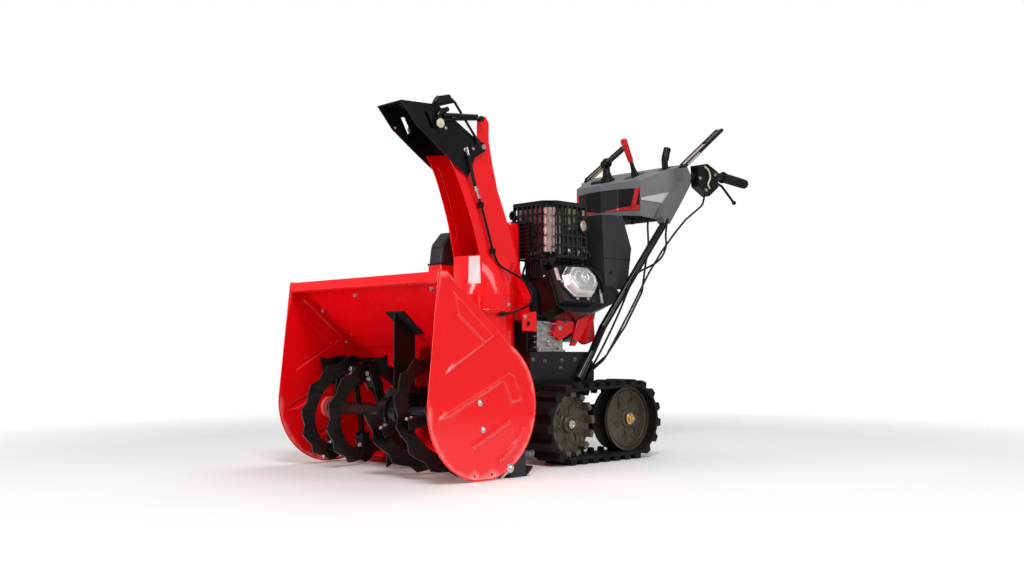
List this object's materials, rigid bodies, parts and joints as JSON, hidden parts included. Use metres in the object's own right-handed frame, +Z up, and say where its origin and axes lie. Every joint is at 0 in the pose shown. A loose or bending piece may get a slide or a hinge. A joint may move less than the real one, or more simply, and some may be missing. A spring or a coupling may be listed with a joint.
{
  "type": "tracked snow blower",
  "caption": "Walk-behind two-stage snow blower on rubber tracks with a red auger housing, a tall turning chute, an engine behind it and handlebars with a console.",
  "frame": {"origin": "bottom centre of the box round the whole machine, on the ground the tracks stand on", "axes": "+Z up, -Y towards the auger housing, +Y towards the operator, +X towards the operator's left"},
  "size_m": [0.724, 1.592, 1.1577],
  "materials": {
    "red_paint": "gloss",
    "black_steel": "satin",
    "track_rubber": "matte",
    "wheel_casting": "satin",
    "zinc_steel": "satin",
    "engine_casting": "cast",
    "polished_cover": "polished",
    "muffler_steel": "satin",
    "shroud_plastic": "satin",
    "grey_plastic": "satin",
    "dark_plastic": "satin",
    "black_plastic": "satin",
    "grip_rubber": "matte"
  },
  "bodies": {
    "undercarriage": {"track_left": "track_rubber", "track_right": "track_rubber", "sprockets": "wheel_casting", "idlers": "wheel_casting", "track_frames": "black_steel", "axles": "zinc_steel"},
    "machine": {"side_plate_left": "red_paint", "side_plate_right": "red_paint", "housing_shell": "red_paint", "scraper_bar": "zinc_steel", "skid_shoes": "black_steel", "blower_housing": "red_paint", "gearcase_stay": "black_steel", "gearcase": "black_steel", "chute_drive": "red_paint", "motor_cover": "dark_plastic", "belt_cover": "red_paint", "frame": "black_steel", "transmission": "engine_casting", "engine_block": "engine_casting", "rocker_cover": "polished_cover", "muffler": "muffler_steel", "muffler_guard": "black_steel", "fan_shroud": "shroud_plastic", "recoil_starter": "shroud_plastic", "lower_shroud": "shroud_plastic", "intake_cover": "dark_plastic", "fuel_tank": "dark_plastic", "engine_bracket": "red_paint", "console": "grey_plastic", "handlebars": "black_steel", "grips": "grip_rubber", "clutch_levers": "black_steel", "control_levers": "black_plastic", "control_cables": "black_plastic"},
    "auger": {"auger_flight_left": "black_steel", "auger_flight_right": "black_steel", "auger_shaft": "zinc_steel"},
    "impeller": {"impeller": "black_steel", "impeller_shaft": "zinc_steel"},
    "chute": {"chute_channel": "red_paint", "chute_cable": "black_plastic"},
    "deflector": {"deflector_hood": "black_plastic", "deflector_pins": "zinc_steel", "deflector_arm": "black_steel"}
  },
  "joints": [
    {"name": "head_tilt", "type": "hinge", "parent": "undercarriage", "child": "machine", "pos_m": [0, -0.14904, 0.1233], "axis": [-1, 0, 0], "range_deg": [0, 8]},
    {"name": "auger_turn", "type": "hinge", "parent": "machine", "child": "auger", "pos_m": [0, -0.61204, 0.17], "axis": [1, 0, 0], "continuous": true},
    {"name": "impeller_turn", "type": "hinge", "parent": "machine", "child": "impeller", "pos_m": [0, -0.41204, 0.212], "axis": [0, 1, 0], "continuous": true},
    {"name": "chute_turn", "type": "hinge", "parent": "machine", "child": "chute", "pos_m": [0.025, -0.29704, 0.468], "axis": [0, 0, 1], "range_deg": [-105, 105]},
    {"name": "deflector_tilt", "type": "hinge", "parent": "chute", "child": "deflector", "pos_m": [0.025, -0.35804, 0.972], "axis": [1, 0, 0], "range_deg": [0, 38]}
  ],
  "couplings": [
    {"joint": "impeller_turn", "follows": "auger_turn", "ratio": 10}
  ]
}
